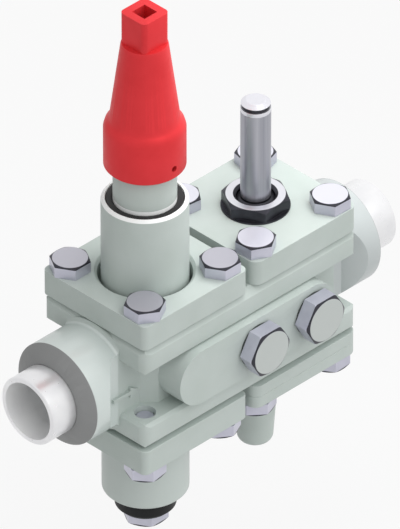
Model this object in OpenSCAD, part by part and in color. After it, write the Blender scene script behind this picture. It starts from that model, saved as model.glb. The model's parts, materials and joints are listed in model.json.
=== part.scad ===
// Refrigeration valve station: one cast housing with two valve positions, a
// regulating valve over a strainer and a solenoid valve over a check valve.
// The origin is the middle of the inlet weld end, +X runs along the flow and
// +Z points up the seal cap.

/* [Pipe line] */
// Outer diameter of the butt-weld ends
pipe_od = 33.7; // [32:0.1:36]
// Wall of the butt-weld ends
pipe_wall = 2.6; // [2:0.1:3.6]
// Length of a weld neck outside its boss
neck_out = 14.6; // [10:0.2:40]
// Depth that a weld neck is set into its boss
neck_in = 14.6; // [10:0.2:14.6]
// Width of the welding bevel on the neck's tip
weld_bevel = 1.8; // [1:0.1:1.8]

/* [Housing] */
// Distance between the two valve positions
pitch = 71; // [70:0.5:90]
// Half the width of the flanges
flange_half = 33.1; // [33:0.1:36]
// Height of the housing over both flanges
block_h = 56.8; // [56:0.2:64]
// Height of the open corner pockets between the flanges
pocket_h = 28.2; // [24:0.2:30]
// Radius of the flanges' upright corners
flange_corner_r = 5; // [4:0.5:5]
// Chamfer on the flange edges beside the covers
flange_chamfer = 3.6; // [1:0.1:4]
// Chamfer on the flange edges beside the corner pockets
pocket_chamfer = 1.6; // [0.5:0.1:2]
// Diameter of the round bosses that hold the weld necks
boss_d = 51; // [46:0.5:52]
// Length of a boss from the flange to its cone
boss_out = 22.7; // [20:0.1:30]
// Length of the machined cone that leads a boss down to its weld neck
boss_cone = 4.6; // [2:0.1:6]
// Radius of the cast fillet where a boss meets the flanges
boss_fillet = 2.5; // [1:0.1:2.5]
// Half the width of the necks between the corner pockets
waist_half = 16.8; // [15:0.2:18]
// Radius of the four valve chambers
chamber_r = 21; // [20:0.1:21.5]
// Thickness of the web between an upper and a lower chamber
web_t = 8; // [6:0.5:9]
// Radius of the sloping passages from the weld necks to the lower chambers
passage_r = 8; // [6:0.5:8.5]
// Radius of the passage that crosses between the upper chambers
crossing_r = 7.5; // [5:0.5:7.5]

/* [Side ports] */
// Reach of a side pad from the middle of the housing
pad_reach = 37; // [35:0.5:42]
// Radius of the side pads' round ends
pad_r = 14.4; // [13.5:0.1:14.8]
// Radius of the threaded port holes
port_r = 8.3; // [6:0.1:8.5]
// Depth of the port holes
port_depth = 12.5; // [9:0.5:12.5]
// Width across flats of the port plugs
plug_af = 22; // [19:1:24]
// Height of a port plug's head
plug_head_h = 8; // [6:0.5:12]

/* [Covers] */
// Side of the square covers
cover_w = 66.4; // [64:0.2:68]
// Thickness of the covers
cover_t = 13; // [11:0.5:16]
// Corner radius of the covers on the left position
cover_corner_r = 3.3; // [2:0.1:5]
// Corner radius of the covers on the right position
wide_corner_r = 5; // [2:0.1:5]
// Thickness of the check valve's adapter plate
adapter_t = 6; // [5:0.5:8]
// Thickness of the check valve's cover
check_cover_t = 6.2; // [5:0.2:8]
// Thickness of the flat gaskets
gasket_t = 1; // [0.8:0.1:1.5]

/* [Bolts] */
// Distance of a cover bolt from its station axis along X and along Y
bolt_offset = 24.04; // [23.6:0.02:24.4]
// Nominal diameter of the cover bolts
bolt_d = 10; // [8:1:10]
// Width across flats of the cover bolts
bolt_af = 17; // [16:1:18]
// Height of a cover bolt's head
bolt_head_h = 6.4; // [5:0.1:8]
// Shank length of the cover bolts
bolt_l = 25; // [22:1:27]

/* [Regulating valve] */
// Radius of the bonnet above its cover
bonnet_r = 20.15; // [19:0.05:20.5]
// Height of the bonnet's shoulder above the flow axis
bonnet_z = 83; // [80:1:100]
// Radius of the bonnet's threaded neck
bonnet_neck_r = 14.65; // [14:0.05:15]
// Gap between the bonnet's shoulder and the seal cap
cap_gap = 17.4; // [8:0.2:24]
// Radius of the regulating spindle
spindle_r = 5; // [4:0.1:6]
// Greatest lift of the regulating cone
cone_lift = 6; // [3:0.5:8]
// Radius of the valve seats' ports
seat_port_r = 9.5; // [8:0.1:10]

/* [Seal cap] */
// Radius of the seal cap's lower rim
cap_r = 18.9; // [18.5:0.1:22]
// Height of the seal cap up to the foot of its square
cap_h = 66.6; // [60:0.2:80]
// Side of the square on top of the seal cap
cap_square_w = 16.2; // [14:0.2:18]
// Height of that square
cap_square_h = 16.2; // [10:0.2:20]
// Side of the square socket in the cap's top
cap_socket_w = 8; // [6:0.5:10]
// Depth of the square socket
cap_socket_h = 10; // [6:0.5:12]
// Diameter of the cap's bleed hole
bleed_d = 3; // [2:0.5:4]

/* [Strainer] */
// Length of the strainer cup below the housing
cup_l = 51.6; // [46:0.2:70]
// Wall of the strainer cup
cup_wall = 3.15; // [2.5:0.05:4]
// Radius of the strainer element
element_r = 14.5; // [13.5:0.1:15]
// Radius of the cup's drain neck
drain_neck_r = 14.3; // [12:0.1:15]
// Width across flats of the drain plug
drain_af = 19; // [17:1:22]

/* [Solenoid valve] */
// Radius of the armature tube
tube_r = 7.05; // [6.8:0.05:7.4]
// Height of the armature tube's end above the flow axis
tube_top_z = 94.5; // [88:0.5:110]
// Width across flats of the armature nut
nut_af = 28; // [26:1:30]
// Height of the armature nut
nut_h = 6.8; // [6:0.2:9]
// Radius of the main piston
piston_r = 15; // [14:0.1:15.5]
// Greatest lift of the main piston
piston_lift = 6; // [3:0.5:7]
// Greatest lift of the armature
armature_lift = 3; // [2:0.5:4]

/* [Check valve] */
// Radius of the check valve's boss where it meets the cover
check_boss_r = 11.6; // [10:0.1:13]
// Radius near the boss's rounded tip
check_tip_r = 8.5; // [8:0.1:9]
// Reach of the boss's tip below the flow axis
check_boss_z = 90; // [86:0.5:100]
// Greatest travel of the check disc
check_lift = 5; // [2:0.5:7]

/* [Hidden] */
$fn = 64;

// Shared clearances: fixed fits, running fits and the gap of a closed valve
fit_gap = 0.05;
run_gap = 0.05;
shut_gap = 0.3;
// Overlap of a cut past the face that it opens
cut = 1;

// Places along the flow
boss_x = neck_out + boss_cone;
flange_x = boss_x + boss_out;
reg_x = flange_x + flange_half;
sol_x = reg_x + pitch;
flow_l = sol_x + flange_half + boss_out + boss_x;
mid_x = flow_l / 2;
pipe_r = pipe_od / 2;
bore_r = pipe_r - pipe_wall;
spigot_r = pipe_r - 0.35;
relief_w = 0.6;
cavity_r = bore_r + 0.75;
cone_tip_r = pipe_r + 0.25;
seat_draft = 0.15;

// Heights of the housing
flange_z = block_h / 2;
pocket_z = pocket_h / 2;
web_z = web_t / 2;
cover_z = flange_z + cover_t;
crossing_z = web_z + crossing_r + 0.5;
tapped_depth = flange_z - pocket_z + 2.7;

// Plan of the middle of the housing
waist_reach = 20.4;
core_reach = 14.3;
core_half = waist_half + waist_reach - core_reach;
boss_r = boss_d / 2;

// Sloping passages: from the neck's bore to the middle of the chamber's wall
slope_from = neck_out + neck_in - 2;
slope_drop = 15;
slope = atan(slope_drop / (reg_x - chamber_r - slope_from));
slope_l = (reg_x - chamber_r + 6 - slope_from) / cos(slope);

// Gasket seats: flat rings let into the flange faces
ring_in_r = chamber_r + 0.4;
ring_out_r = chamber_r + 3.5;
collar_t = 6;
collar_z = flange_z - collar_t;

// Valve seats
seat_ring_r = seat_port_r + 2.5;
seat_lip = 1.5;
seat_z = web_z + seat_lip;
disc_r = seat_ring_r + 0.5;

// Bonnet, its packing box and its neck
groove_z = bonnet_z - 4;
cap_z = bonnet_z + cap_gap;
bonnet_neck_z = cap_z + 17.6;
packing_r = 9;
packing_z = groove_z - 1;
packing_ring_h = 4;
guide_z = packing_z - 20;
spindle_square = 7;
gland_af = 14;
gland_head_h = 6;

// Seal cap
cap_top_z = cap_z + cap_h;
cap_bore_r = bonnet_neck_r + 0.1;
cap_hollow_top_z = cap_top_z - 8;
spindle_top_z = cap_hollow_top_z - cone_lift - 7;

// Strainer cup
cup_z = flange_z + cup_l;
cup_floor_t = 4;
drain_z = cup_z + 9.4;
drain_r = 8;
drain_head_h = 6.6;
drain_tail = 8;

// Solenoid cover and armature
nut_recess = 6.4;
nut_seat_z = cover_z - nut_recess;
tube_flange_z = nut_seat_z + gasket_t;
tube_flange_t = 2;
tube_bore_r = tube_r - 1.45;
hub_r = tube_r + 1.85;
skirt_r = 12;
nut_z = cover_z + nut_h;
nozzle_z = tube_flange_z + 1;
armature_z = nozzle_z + shut_gap;
core_z = tube_top_z - 15;
armature_top_z = core_z - armature_lift - 0.5;
spring_pocket = 9.8;
ceiling_z = flange_z + 2.6;
sleeve_z = seat_z + 4.5;
sleeve_wall = 2;
piston_top_z = ceiling_z - piston_lift - 3;

// Check valve
adapter_z = flange_z + adapter_t;
check_cover_z = adapter_z + check_cover_t;
adapter_bore_r = 14;
stem_r = 5;
stem_l = 62;
check_spring_r = 8.5;
spring_wire_r = 0.7;

// Side ports
port_x = [mid_x, sol_x];
port_gasket_r = plug_af / 2;

// Turn of each bolt head, as the spanner left it
regulator_turns = [28, 0.3, 28, 0.3];
solenoid_turns = [33, 58.4, 17, 53];
strainer_turns = [8, 25, 41, 57];
check_turns = [20, 3, 36, 49];
nut_turn = 1.3;

CORNERS = [[-1, -1], [1, -1], [1, 1], [-1, 1]];
cast_colour = [0.70, 0.74, 0.72];
zinc_colour = [0.78, 0.78, 0.84];
steel_colour = [0.66, 0.66, 0.70];
bright_colour = [0.86, 0.86, 0.86];
brass_colour = [0.75, 0.62, 0.32];
gasket_colour = [0.25, 0.27, 0.27];
rubber_colour = [0.12, 0.12, 0.12];

// Flat shapes

module rounded_rectangle(half_x, half_y, r) {
    square([2 * half_x, 2 * (half_y - r)], center = true);
    square([2 * (half_x - r), 2 * half_y], center = true);
    for (c = CORNERS)
        translate([c[0] * (half_x - r), c[1] * (half_y - r)]) circle(r = r);
}

module cover_outline(r, hole_r) {
    difference() {
        rounded_rectangle(cover_w / 2, cover_w / 2, r);
        circle(r = hole_r);
        for (c = CORNERS)
            translate(c * bolt_offset) circle(d = bolt_d + 1);
    }
}

// Turned and hexagonal shapes

module ring(in_r, out_r, z, h) {
    translate([0, 0, z])
        rotate_extrude()
            translate([in_r, 0]) square([out_r - in_r, h]);
}

// Hexagon prism standing on z = 0 with the top corners turned to a cone
module hex_head(af, h) {
    corner_r = af / sqrt(3);
    face_r = af / 2 - 0.4;
    intersection() {
        cylinder(r = corner_r, h = h, $fn = 6);
        rotate_extrude()
            polygon([[0, 0], [corner_r + 0.1, 0],
                     [corner_r + 0.1, h - (corner_r - face_r) * tan(30)],
                     [face_r, h], [0, h]]);
    }
}

// Screw with a hexagon head: the head stands on z = 0, the shank hangs below
module hex_screw(af, head_h, d, l) {
    tip = d / 10;
    hex_head(af, head_h);
    rotate_extrude()
        polygon([[0, cut / 2], [d / 2, cut / 2], [d / 2, tip - l],
                 [d / 2 - tip, -l], [0, -l]]);
}

// Round wire wound between two heights
module coil_spring(mean_r, wire_r, z0, z1, turns) {
    sides = 8;
    steps = turns * 14;
    rise = z1 - z0 - 2 * wire_r;
    points = [for (i = [0:steps]) for (j = [0:sides - 1])
        let (t = i * 360 * turns / steps, a = j * 360 / sides,
             r = mean_r + wire_r * cos(a))
        [r * cos(t), r * sin(t), z0 + wire_r + rise * i / steps + wire_r * sin(a)]];
    walls = [for (i = [0:steps - 1]) for (j = [0:sides - 1])
        let (k = (j + 1) % sides)
        [i * sides + j, i * sides + k, (i + 1) * sides + k, (i + 1) * sides + j]];
    first = [for (j = [sides - 1:-1:0]) j];
    last = [for (j = [0:sides - 1]) steps * sides + j];
    polyhedron(points = points, faces = concat(walls, [first, last]));
}

// Housing

// Profile of what a 45 degree chamfer takes off an edge at (reach, 0)
module edge_cut(reach, side, c) {
    polygon([[side * (reach - c), 0], [side * reach, -c], [side * (reach + cut), -c],
             [side * (reach + cut), cut], [side * (reach - c), cut]]);
}

// What the chamfers take off the four upper edges of a flange
module edge_cuts(c) {
    half_x = mid_x - flange_x;
    for (side = [-1, 1]) {
        rotate([90, 0, 90])
            linear_extrude(2 * half_x + 2 * cut, center = true)
                edge_cut(flange_half, side, c);
        rotate([90, 0, 0])
            linear_extrude(2 * flange_half + 2 * cut, center = true)
                edge_cut(half_x, side, c);
    }
}

module flange() {
    translate([mid_x, 0, 0])
        difference() {
            translate([0, 0, pocket_z])
                linear_extrude(flange_z - pocket_z)
                    rounded_rectangle(mid_x - flange_x, flange_half, flange_corner_r);
            translate([0, 0, flange_z]) edge_cuts(flange_chamfer);
            translate([0, 0, pocket_z]) mirror([0, 0, 1]) edge_cuts(pocket_chamfer);
        }
}

// Body between the flanges: two waists, widening at 45 degrees to the core
module core() {
    w = waist_half;
    near = reg_x - waist_reach;
    wide = reg_x - core_reach;
    translate([0, 0, -pad_r])
        linear_extrude(2 * pad_r)
            polygon([[flange_x - 4, -w], [near, -w], [wide, -core_half],
                     [flow_l - wide, -core_half], [flow_l - near, -w],
                     [flow_l - flange_x + 4, -w], [flow_l - flange_x + 4, w],
                     [flow_l - near, w], [flow_l - wide, core_half],
                     [wide, core_half], [near, w], [flange_x - 4, w]]);
}

// Round boss with a machined cone, cut off at 45 degrees in plan at the waist
module boss() {
    flare = boss_r - waist_half;
    waist_x = flange_x - 5.8;
    intersection() {
        union() {
            rotate([0, 90, 0])
                rotate_extrude()
                    polygon([[0, neck_out], [cone_tip_r, neck_out], [boss_r, boss_x],
                             [boss_r, flange_x + 16], [0, flange_x + 16]]);
            boss_root_fillet();
        }
        translate([0, 0, -block_h / 2])
            linear_extrude(block_h)
                polygon([[neck_out - cut, -boss_r - cut],
                         [waist_x - flare - cut, -boss_r - cut],
                         [waist_x, -waist_half], [flange_x + 20, -waist_half],
                         [flange_x + 20, waist_half], [waist_x, waist_half],
                         [waist_x - flare - cut, boss_r + cut],
                         [neck_out - cut, boss_r + cut]]);
    }
}

module boss_root_fillet() {
    f = boss_fillet;
    translate([flange_x - f, 0, 0]) rotate([0, 90, 0])
        difference() {
            cylinder(r = boss_r + f, h = f + cut);
            rotate_extrude() translate([boss_r + f, 0]) circle(r = f);
        }
}

module side_pads() {
    translate([mid_x, 0, 0]) rotate([90, 0, 0])
        linear_extrude(2 * pad_reach, center = true) {
            square([pitch, 2 * pad_r], center = true);
            for (side = [-1, 1])
                translate([side * pitch / 2, 0]) circle(r = pad_r);
        }
}

module sloping_passage() {
    translate([slope_from, 0, 0]) rotate([0, 90 + slope, 0])
        cylinder(r = passage_r, h = slope_l);
}

// Seat of a weld neck's spigot and the cast mouth behind it, both with draft
module neck_seat() {
    fit_r = spigot_r + fit_gap;
    translate([neck_out - cut, 0, 0]) rotate([0, 90, 0])
        cylinder(r1 = fit_r + seat_draft, r2 = fit_r, h = neck_in + cut);
    translate([neck_out, 0, 0]) rotate([0, 90, 0])
        cylinder(r1 = cavity_r + seat_draft, r2 = cavity_r - seat_draft, h = neck_in + 2);
}

module inlet_end_cuts() {
    neck_seat();
    sloping_passage();
}

module outlet_end_cuts() {
    translate([flow_l, 0, 0]) mirror([1, 0, 0]) inlet_end_cuts();
}

// Upper and lower chamber of one station with the seat's hole in the web
module chambers(x) {
    for (z = [web_z, -flange_z - cut])
        translate([x, 0, z])
            cylinder(r = chamber_r, h = flange_z - web_z + cut);
    translate([x, 0, -web_z - cut])
        cylinder(r = seat_ring_r + fit_gap, h = web_t + 2 * cut);
}

module tapped_holes(x) {
    for (c = CORNERS)
        for (z = [flange_z - tapped_depth, -flange_z - cut])
            translate([x + c[0] * bolt_offset, c[1] * bolt_offset, z])
                cylinder(r = bolt_d / 2 + fit_gap, h = tapped_depth + cut);
}

// Threaded port holes with the small drillings that lead the pressure out
module port_holes(side) {
    for (x = port_x)
        translate([x, side * (pad_reach + cut), 0]) rotate([side * 90, 0, 0])
            cylinder(r = port_r + fit_gap, h = port_depth + cut);
    start_y = pad_reach - port_depth + cut;
    translate([sol_x, side * start_y, 0]) rotate([side * 45, 0, 0])
        cylinder(r = 1.6, h = 12);
    aim = atan((start_y - 3) / (crossing_z - 3));
    translate([mid_x, side * start_y, 0]) rotate([side * aim, 0, 0])
        cylinder(r = 3, h = (start_y - 3) / sin(aim));
}

module housing() {
    color(cast_colour)
    difference() {
        union() {
            flange();
            mirror([0, 0, 1]) flange();
            core();
            side_pads();
            boss();
            translate([flow_l, 0, 0]) mirror([1, 0, 0]) boss();
        }
        inlet_end_cuts();
        outlet_end_cuts();
        for (x = [reg_x, sol_x]) {
            chambers(x);
            tapped_holes(x);
        }
        translate([reg_x, 0, crossing_z]) rotate([0, 90, 0])
            cylinder(r = crossing_r, h = pitch);
        translate([reg_x, 0, collar_z - gasket_t])
            cylinder(r = ring_out_r, h = collar_t + gasket_t + cut);
        translate([sol_x, 0, flange_z - gasket_t])
            cylinder(r = ring_out_r, h = gasket_t + cut);
        for (x = [reg_x, sol_x])
            translate([x, 0, -flange_z - cut])
                cylinder(r = ring_out_r, h = gasket_t + cut);
        for (side = [-1, 1]) port_holes(side);
    }
}

// Weld necks: a turned stub bevelled for the weld, its thinner spigot set into the boss
module weld_neck() {
    shoulder_x = neck_out - relief_w;
    color(bright_colour)
    rotate([0, 90, 0])
        rotate_extrude()
            polygon([[bore_r, 0], [pipe_r - weld_bevel, 0], [pipe_r, weld_bevel],
                     [pipe_r, shoulder_x], [spigot_r, shoulder_x],
                     [spigot_r, neck_out + neck_in], [cavity_r, neck_out + neck_in],
                     [cavity_r, shoulder_x], [bore_r, shoulder_x]]);
}

module inlet_weld_neck() {
    weld_neck();
}

module outlet_weld_neck() {
    translate([flow_l, 0, 0]) mirror([1, 0, 0]) weld_neck();
}

// Cover bolts
module cover_bolts(x, z, side, l, turns) {
    color(zinc_colour)
    for (i = [0:3])
        translate([x + CORNERS[i][0] * bolt_offset, CORNERS[i][1] * bolt_offset, side * z])
            mirror([0, 0, side < 0 ? 1 : 0])
                rotate(turns[i]) hex_screw(bolt_af, bolt_head_h, bolt_d, l);
}

// Regulating valve

// Seat ring pressed into the web, its lip raised above it
module seat_ring(lower_z) {
    rotate_extrude()
        polygon([[seat_port_r, lower_z], [seat_ring_r, lower_z], [seat_ring_r, web_z],
                 [seat_ring_r + 1.5, web_z], [seat_ring_r + 1.5, seat_z],
                 [seat_port_r, seat_z]]);
}

module regulator_seat_ring() {
    color(steel_colour) translate([reg_x, 0, 0]) seat_ring(-web_z);
}

module regulator_cone() {
    face_z = seat_z + shut_gap;
    foot_r = spindle_r + 1;
    body_r = foot_r + 3.4;
    nose_r = seat_port_r - 0.5;
    color(steel_colour) translate([reg_x, 0, 0])
    difference() {
        rotate_extrude()
            polygon([[0, -web_z + 1], [nose_r - 2.5, -web_z + 1], [nose_r, face_z],
                     [disc_r, face_z], [disc_r, face_z + 3], [body_r, face_z + 6],
                     [body_r, face_z + 12], [0, face_z + 12]]);
        translate([0, 0, face_z + 4 - run_gap])
            cylinder(r = foot_r + run_gap, h = 5 + 2 * run_gap);
        translate([0, 0, face_z + 4])
            cylinder(r = spindle_r + run_gap, h = 8 + cut);
    }
}

module regulator_spindle() {
    foot_z = seat_z + shut_gap + 4;
    square_h = 8;
    color(bright_colour) translate([reg_x, 0, 0]) {
        rotate_extrude()
            polygon([[0, foot_z], [spindle_r + 1, foot_z], [spindle_r + 1, foot_z + 5],
                     [spindle_r, foot_z + 5], [spindle_r, spindle_top_z - square_h],
                     [0, spindle_top_z - square_h]]);
        translate([0, 0, spindle_top_z - square_h - cut])
            linear_extrude(square_h + cut) square(spindle_square, center = true);
    }
}

module bonnet_gasket() {
    color(gasket_colour) translate([reg_x, 0, 0])
        ring(ring_in_r, ring_out_r - fit_gap, collar_z - gasket_t, gasket_t);
}

module regulator_bonnet() {
    shoulder_r = bonnet_r - 2.05;
    color(cast_colour) translate([reg_x, 0, 0])
    difference() {
        rotate_extrude()
            polygon([[0, collar_z - 2.4], [chamber_r - 0.1, collar_z - 2.4],
                     [chamber_r - 0.1, collar_z], [ring_out_r - 0.1, collar_z],
                     [ring_out_r - 0.1, flange_z], [bonnet_r, flange_z],
                     [bonnet_r, bonnet_z - 2.5], [shoulder_r, bonnet_z],
                     [shoulder_r, groove_z], [bonnet_neck_r, groove_z],
                     [bonnet_neck_r, bonnet_neck_z - 1], [bonnet_neck_r - 1, bonnet_neck_z],
                     [0, bonnet_neck_z]]);
        translate([0, 0, collar_z - 2.4 - cut])
            cylinder(r = bonnet_r - 5.15, h = guide_z - collar_z + 2.4 + cut);
        cylinder(r = spindle_r + run_gap, h = bonnet_neck_z);
        translate([0, 0, packing_z])
            cylinder(r = packing_r, h = bonnet_neck_z - packing_z + cut);
    }
}

module regulator_cover() {
    hole_r = bonnet_r + 1.65;
    color(cast_colour) translate([reg_x, 0, flange_z])
    difference() {
        linear_extrude(cover_t) cover_outline(cover_corner_r, hole_r);
        translate([0, 0, cover_t - 1.5])
            cylinder(r1 = hole_r, r2 = hole_r + 1.5 + cut, h = 1.5 + cut);
    }
}

module regulator_cover_bolts() {
    cover_bolts(reg_x, cover_z, 1, bolt_l, regulator_turns);
}

module spindle_packing() {
    color(rubber_colour) translate([reg_x, 0, 0])
        for (i = [0:2])
            ring(spindle_r + run_gap, packing_r - fit_gap,
                 packing_z + i * packing_ring_h, packing_ring_h - 0.1);
}

module packing_gland() {
    z = packing_z + 3 * packing_ring_h;
    head_z = bonnet_neck_z - gland_head_h - 2;
    color(brass_colour) translate([reg_x, 0, 0])
    difference() {
        union() {
            translate([0, 0, z]) cylinder(r = packing_r - fit_gap, h = head_z - z);
            translate([0, 0, head_z]) hex_head(gland_af, gland_head_h);
        }
        translate([0, 0, z - cut])
            cylinder(r = spindle_r + run_gap, h = bonnet_neck_z - z + cut);
    }
}

// Seal cap

module cap_gasket() {
    color(gasket_colour) translate([reg_x, 0, 0])
        ring(packing_r + 1.5, bonnet_neck_r - 1.2, bonnet_neck_z, gasket_t - 0.1);
}

module seal_cap() {
    rim = 0.8;
    band_z = cap_z + 20.5;
    crown_r = 11.16;
    color([0.86, 0.16, 0.18]) translate([reg_x, 0, 0])
    difference() {
        union() {
            rotate_extrude()
                polygon([[0, cap_z], [cap_r - rim, cap_z], [cap_r, cap_z + rim],
                         [cap_r, band_z], [cap_r - 0.7, band_z + 2.4],
                         [cap_r - 2.7, band_z + 5.1], [crown_r, cap_top_z - 2.7],
                         [crown_r - 0.2, cap_top_z - 1.2], [crown_r - 0.6, cap_top_z],
                         [0, cap_top_z]]);
            translate([0, 0, cap_top_z - cut])
                linear_extrude(cap_square_h + cut)
                    rounded_rectangle(cap_square_w / 2, cap_square_w / 2, 2.6);
        }
        rotate_extrude()
            polygon([[0, cap_z - cut], [cap_bore_r, cap_z - cut],
                     [cap_bore_r, bonnet_neck_z + gasket_t],
                     [bonnet_neck_r - 3.2, bonnet_neck_z + gasket_t],
                     [crown_r - 3.2, cap_hollow_top_z], [0, cap_hollow_top_z]]);
        translate([0, 0, cap_top_z + cap_square_h - cap_socket_h])
            linear_extrude(cap_socket_h + cut) square(cap_socket_w, center = true);
        translate([0, 0, cap_z + 5.8]) rotate([90, 0, 0])
            cylinder(d = bleed_d, h = cap_r + cut);
    }
}

// Strainer

module strainer_gasket() {
    color(gasket_colour) translate([reg_x, 0, 0])
        ring(ring_in_r, ring_out_r - fit_gap, -flange_z, gasket_t);
}

// Perforated basket between two solid end rings
module strainer_element() {
    top = -web_z - 0.1;
    l = top + cup_z - cup_floor_t - 0.1;
    rows = 6;
    row_h = (l - 12) / rows;
    color(bright_colour) translate([reg_x, 0, top - l])
    difference() {
        ring(element_r - 1, element_r, 0, l);
        for (i = [0:rows - 1])
            for (turn = [0:45:135])
                translate([0, 0, 6 + (i + 0.5) * row_h]) rotate([90, 0, turn])
                    cylinder(r = row_h * 0.34, h = 2 * element_r + 2 * cut, center = true);
    }
}

module strainer_cover() {
    in_r = bonnet_r - cup_wall;
    mid_r = bonnet_r - cup_wall / 2;
    color(cast_colour) translate([reg_x, 0, 0]) {
        translate([0, 0, -cover_z])
            linear_extrude(cover_t) cover_outline(cover_corner_r, mid_r);
        rotate_extrude()
            polygon([[in_r, -flange_z + 2.5], [chamber_r - 0.1, -flange_z + 2.5],
                     [chamber_r - 0.1, -flange_z - 2], [bonnet_r, -flange_z - 2],
                     [bonnet_r, -cup_z + 1.5], [bonnet_r - 1.5, -cup_z],
                     [drain_neck_r, -cup_z], [drain_neck_r, -drain_z + 1],
                     [drain_neck_r - 1, -drain_z], [drain_r + fit_gap, -drain_z],
                     [drain_r + fit_gap, -cup_z + cup_floor_t],
                     [in_r, -cup_z + cup_floor_t]]);
    }
}

module strainer_cover_bolts() {
    cover_bolts(reg_x, cover_z, -1, bolt_l, strainer_turns);
}

module drain_gasket() {
    color(gasket_colour) translate([reg_x, 0, 0])
        ring(drain_r + 0.2, drain_neck_r - 2, -drain_z - gasket_t, gasket_t);
}

module drain_plug() {
    color(zinc_colour) translate([reg_x, 0, -drain_z - gasket_t])
        mirror([0, 0, 1])
            hex_screw(drain_af, drain_head_h, 2 * drain_r, cup_floor_t + drain_tail);
}

// Solenoid valve

module valve_seat_ring() {
    color(steel_colour) translate([sol_x, 0, 0]) seat_ring(-seat_z);
}

module main_piston() {
    face_z = seat_z + shut_gap;
    step_z = sleeve_z + 0.5;
    color(bright_colour) translate([sol_x, 0, 0])
        rotate_extrude()
            polygon([[0.6, face_z], [disc_r, face_z], [disc_r, step_z],
                     [piston_r, step_z], [piston_r, step_z + 4],
                     [piston_r - 1.5, step_z + 4], [piston_r - 1.5, step_z + 6],
                     [piston_r, step_z + 6], [piston_r, piston_top_z],
                     [piston_r - 5, piston_top_z], [piston_r - 5, step_z + 2.5],
                     [0.6, step_z + 2.5]]);
}

module piston_ring() {
    color(gasket_colour) translate([sol_x, 0, 0])
        ring(piston_r - 1.4, piston_r, sleeve_z + 4.6, 1.8);
}

module main_spring() {
    color(steel_colour) translate([sol_x, 0, 0])
        coil_spring(piston_r - 7, spring_wire_r, sleeve_z + 3.1, ceiling_z - 0.1, 5);
}

module solenoid_gasket() {
    color(gasket_colour) translate([sol_x, 0, 0])
        ring(ring_in_r, ring_out_r - fit_gap, flange_z - gasket_t, gasket_t);
}

// Cover with the piston's sleeve below, the pilot nozzle and the nut's recess
module solenoid_cover() {
    sleeve_r = piston_r + run_gap;
    color(cast_colour) translate([sol_x, 0, 0]) {
        translate([0, 0, flange_z])
            linear_extrude(cover_t) cover_outline(wide_corner_r, sleeve_r + 3);
        rotate_extrude()
            polygon([[0.8, ceiling_z], [sleeve_r, ceiling_z], [sleeve_r, sleeve_z],
                     [sleeve_r + sleeve_wall, sleeve_z],
                     [sleeve_r + sleeve_wall, flange_z - 4],
                     [chamber_r - 0.1, flange_z - 4], [chamber_r - 0.1, cover_z],
                     [skirt_r + fit_gap, cover_z], [skirt_r + fit_gap, nut_seat_z],
                     [3, nut_seat_z], [3, nozzle_z - 0.6], [1.4, nozzle_z],
                     [0.8, nozzle_z]]);
    }
}

module solenoid_cover_bolts() {
    cover_bolts(sol_x, cover_z, 1, bolt_l, solenoid_turns);
}

module tube_seal() {
    color(gasket_colour) translate([sol_x, 0, 0])
        ring(hub_r, skirt_r - 0.4, nut_seat_z, gasket_t);
}

module armature_tube() {
    color(steel_colour) translate([sol_x, 0, 0])
        rotate_extrude()
            polygon([[tube_bore_r, tube_flange_z], [skirt_r - 0.4, tube_flange_z],
                     [skirt_r - 0.4, tube_flange_z + tube_flange_t],
                     [hub_r, tube_flange_z + tube_flange_t], [hub_r, nut_z - 2.4],
                     [tube_r, nut_z - 1.4], [tube_r, tube_top_z],
                     [tube_bore_r, tube_top_z]]);
}

module fixed_core() {
    groove_r = tube_r - 0.85;
    color(steel_colour) translate([sol_x, 0, 0])
        rotate_extrude()
            polygon([[0, core_z], [tube_bore_r - 0.02, core_z],
                     [tube_bore_r - 0.02, tube_top_z], [tube_r, tube_top_z],
                     [tube_r, tube_top_z + 2], [groove_r, tube_top_z + 2],
                     [groove_r, tube_top_z + 4], [tube_r - 0.05, tube_top_z + 4.1],
                     [tube_r - 2.4, tube_top_z + 5.8], [0, tube_top_z + 5.8]]);
}

module armature() {
    seal_r = 2.5;
    color(bright_colour) translate([sol_x, 0, 0])
        rotate_extrude()
            polygon([[0, armature_z + 2], [seal_r, armature_z + 2], [seal_r, armature_z],
                     [tube_bore_r - run_gap, armature_z],
                     [tube_bore_r - run_gap, armature_top_z], [3.2, armature_top_z],
                     [3.2, armature_top_z - spring_pocket],
                     [0, armature_top_z - spring_pocket]]);
}

module pilot_seal() {
    color(rubber_colour) translate([sol_x, 0, armature_z]) cylinder(r = 2.45, h = 1.95);
}

module armature_spring() {
    color(steel_colour) translate([sol_x, 0, 0])
        coil_spring(2.4, 0.4, armature_top_z - spring_pocket + 0.1, core_z - 0.1, 7);
}

module armature_nut() {
    color(steel_colour) translate([sol_x, 0, 0])
    difference() {
        union() {
            translate([0, 0, cover_z]) rotate(nut_turn) hex_head(nut_af, nut_h);
            translate([0, 0, cover_z]) cylinder(r = nut_af / sqrt(3) - 0.1, h = 0.8);
            translate([0, 0, tube_flange_z + tube_flange_t + 0.1])
                cylinder(r = skirt_r, h = cover_z - tube_flange_z - tube_flange_t + 0.7);
        }
        translate([0, 0, nut_seat_z]) cylinder(r = hub_r + 0.15, h = 20);
        translate([0, 0, nut_z - 1.4])
            cylinder(r1 = hub_r + 0.15, r2 = hub_r + 1.55 + cut, h = 1.4 + cut);
    }
}

// Check valve

module check_disc() {
    top = -seat_z - shut_gap;
    color(bright_colour) translate([sol_x, 0, 0])
        rotate_extrude()
            polygon([[0, top], [disc_r, top], [disc_r, top - 3.2],
                     [stem_r, top - 3.2], [stem_r, top - stem_l + 1],
                     [stem_r - 1, top - stem_l], [0, top - stem_l]]);
}

module check_spring() {
    color(steel_colour) translate([sol_x, 0, 0])
        coil_spring(check_spring_r, spring_wire_r, -adapter_z + 0.1, -seat_z - shut_gap - 3.3, 6);
}

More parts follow.
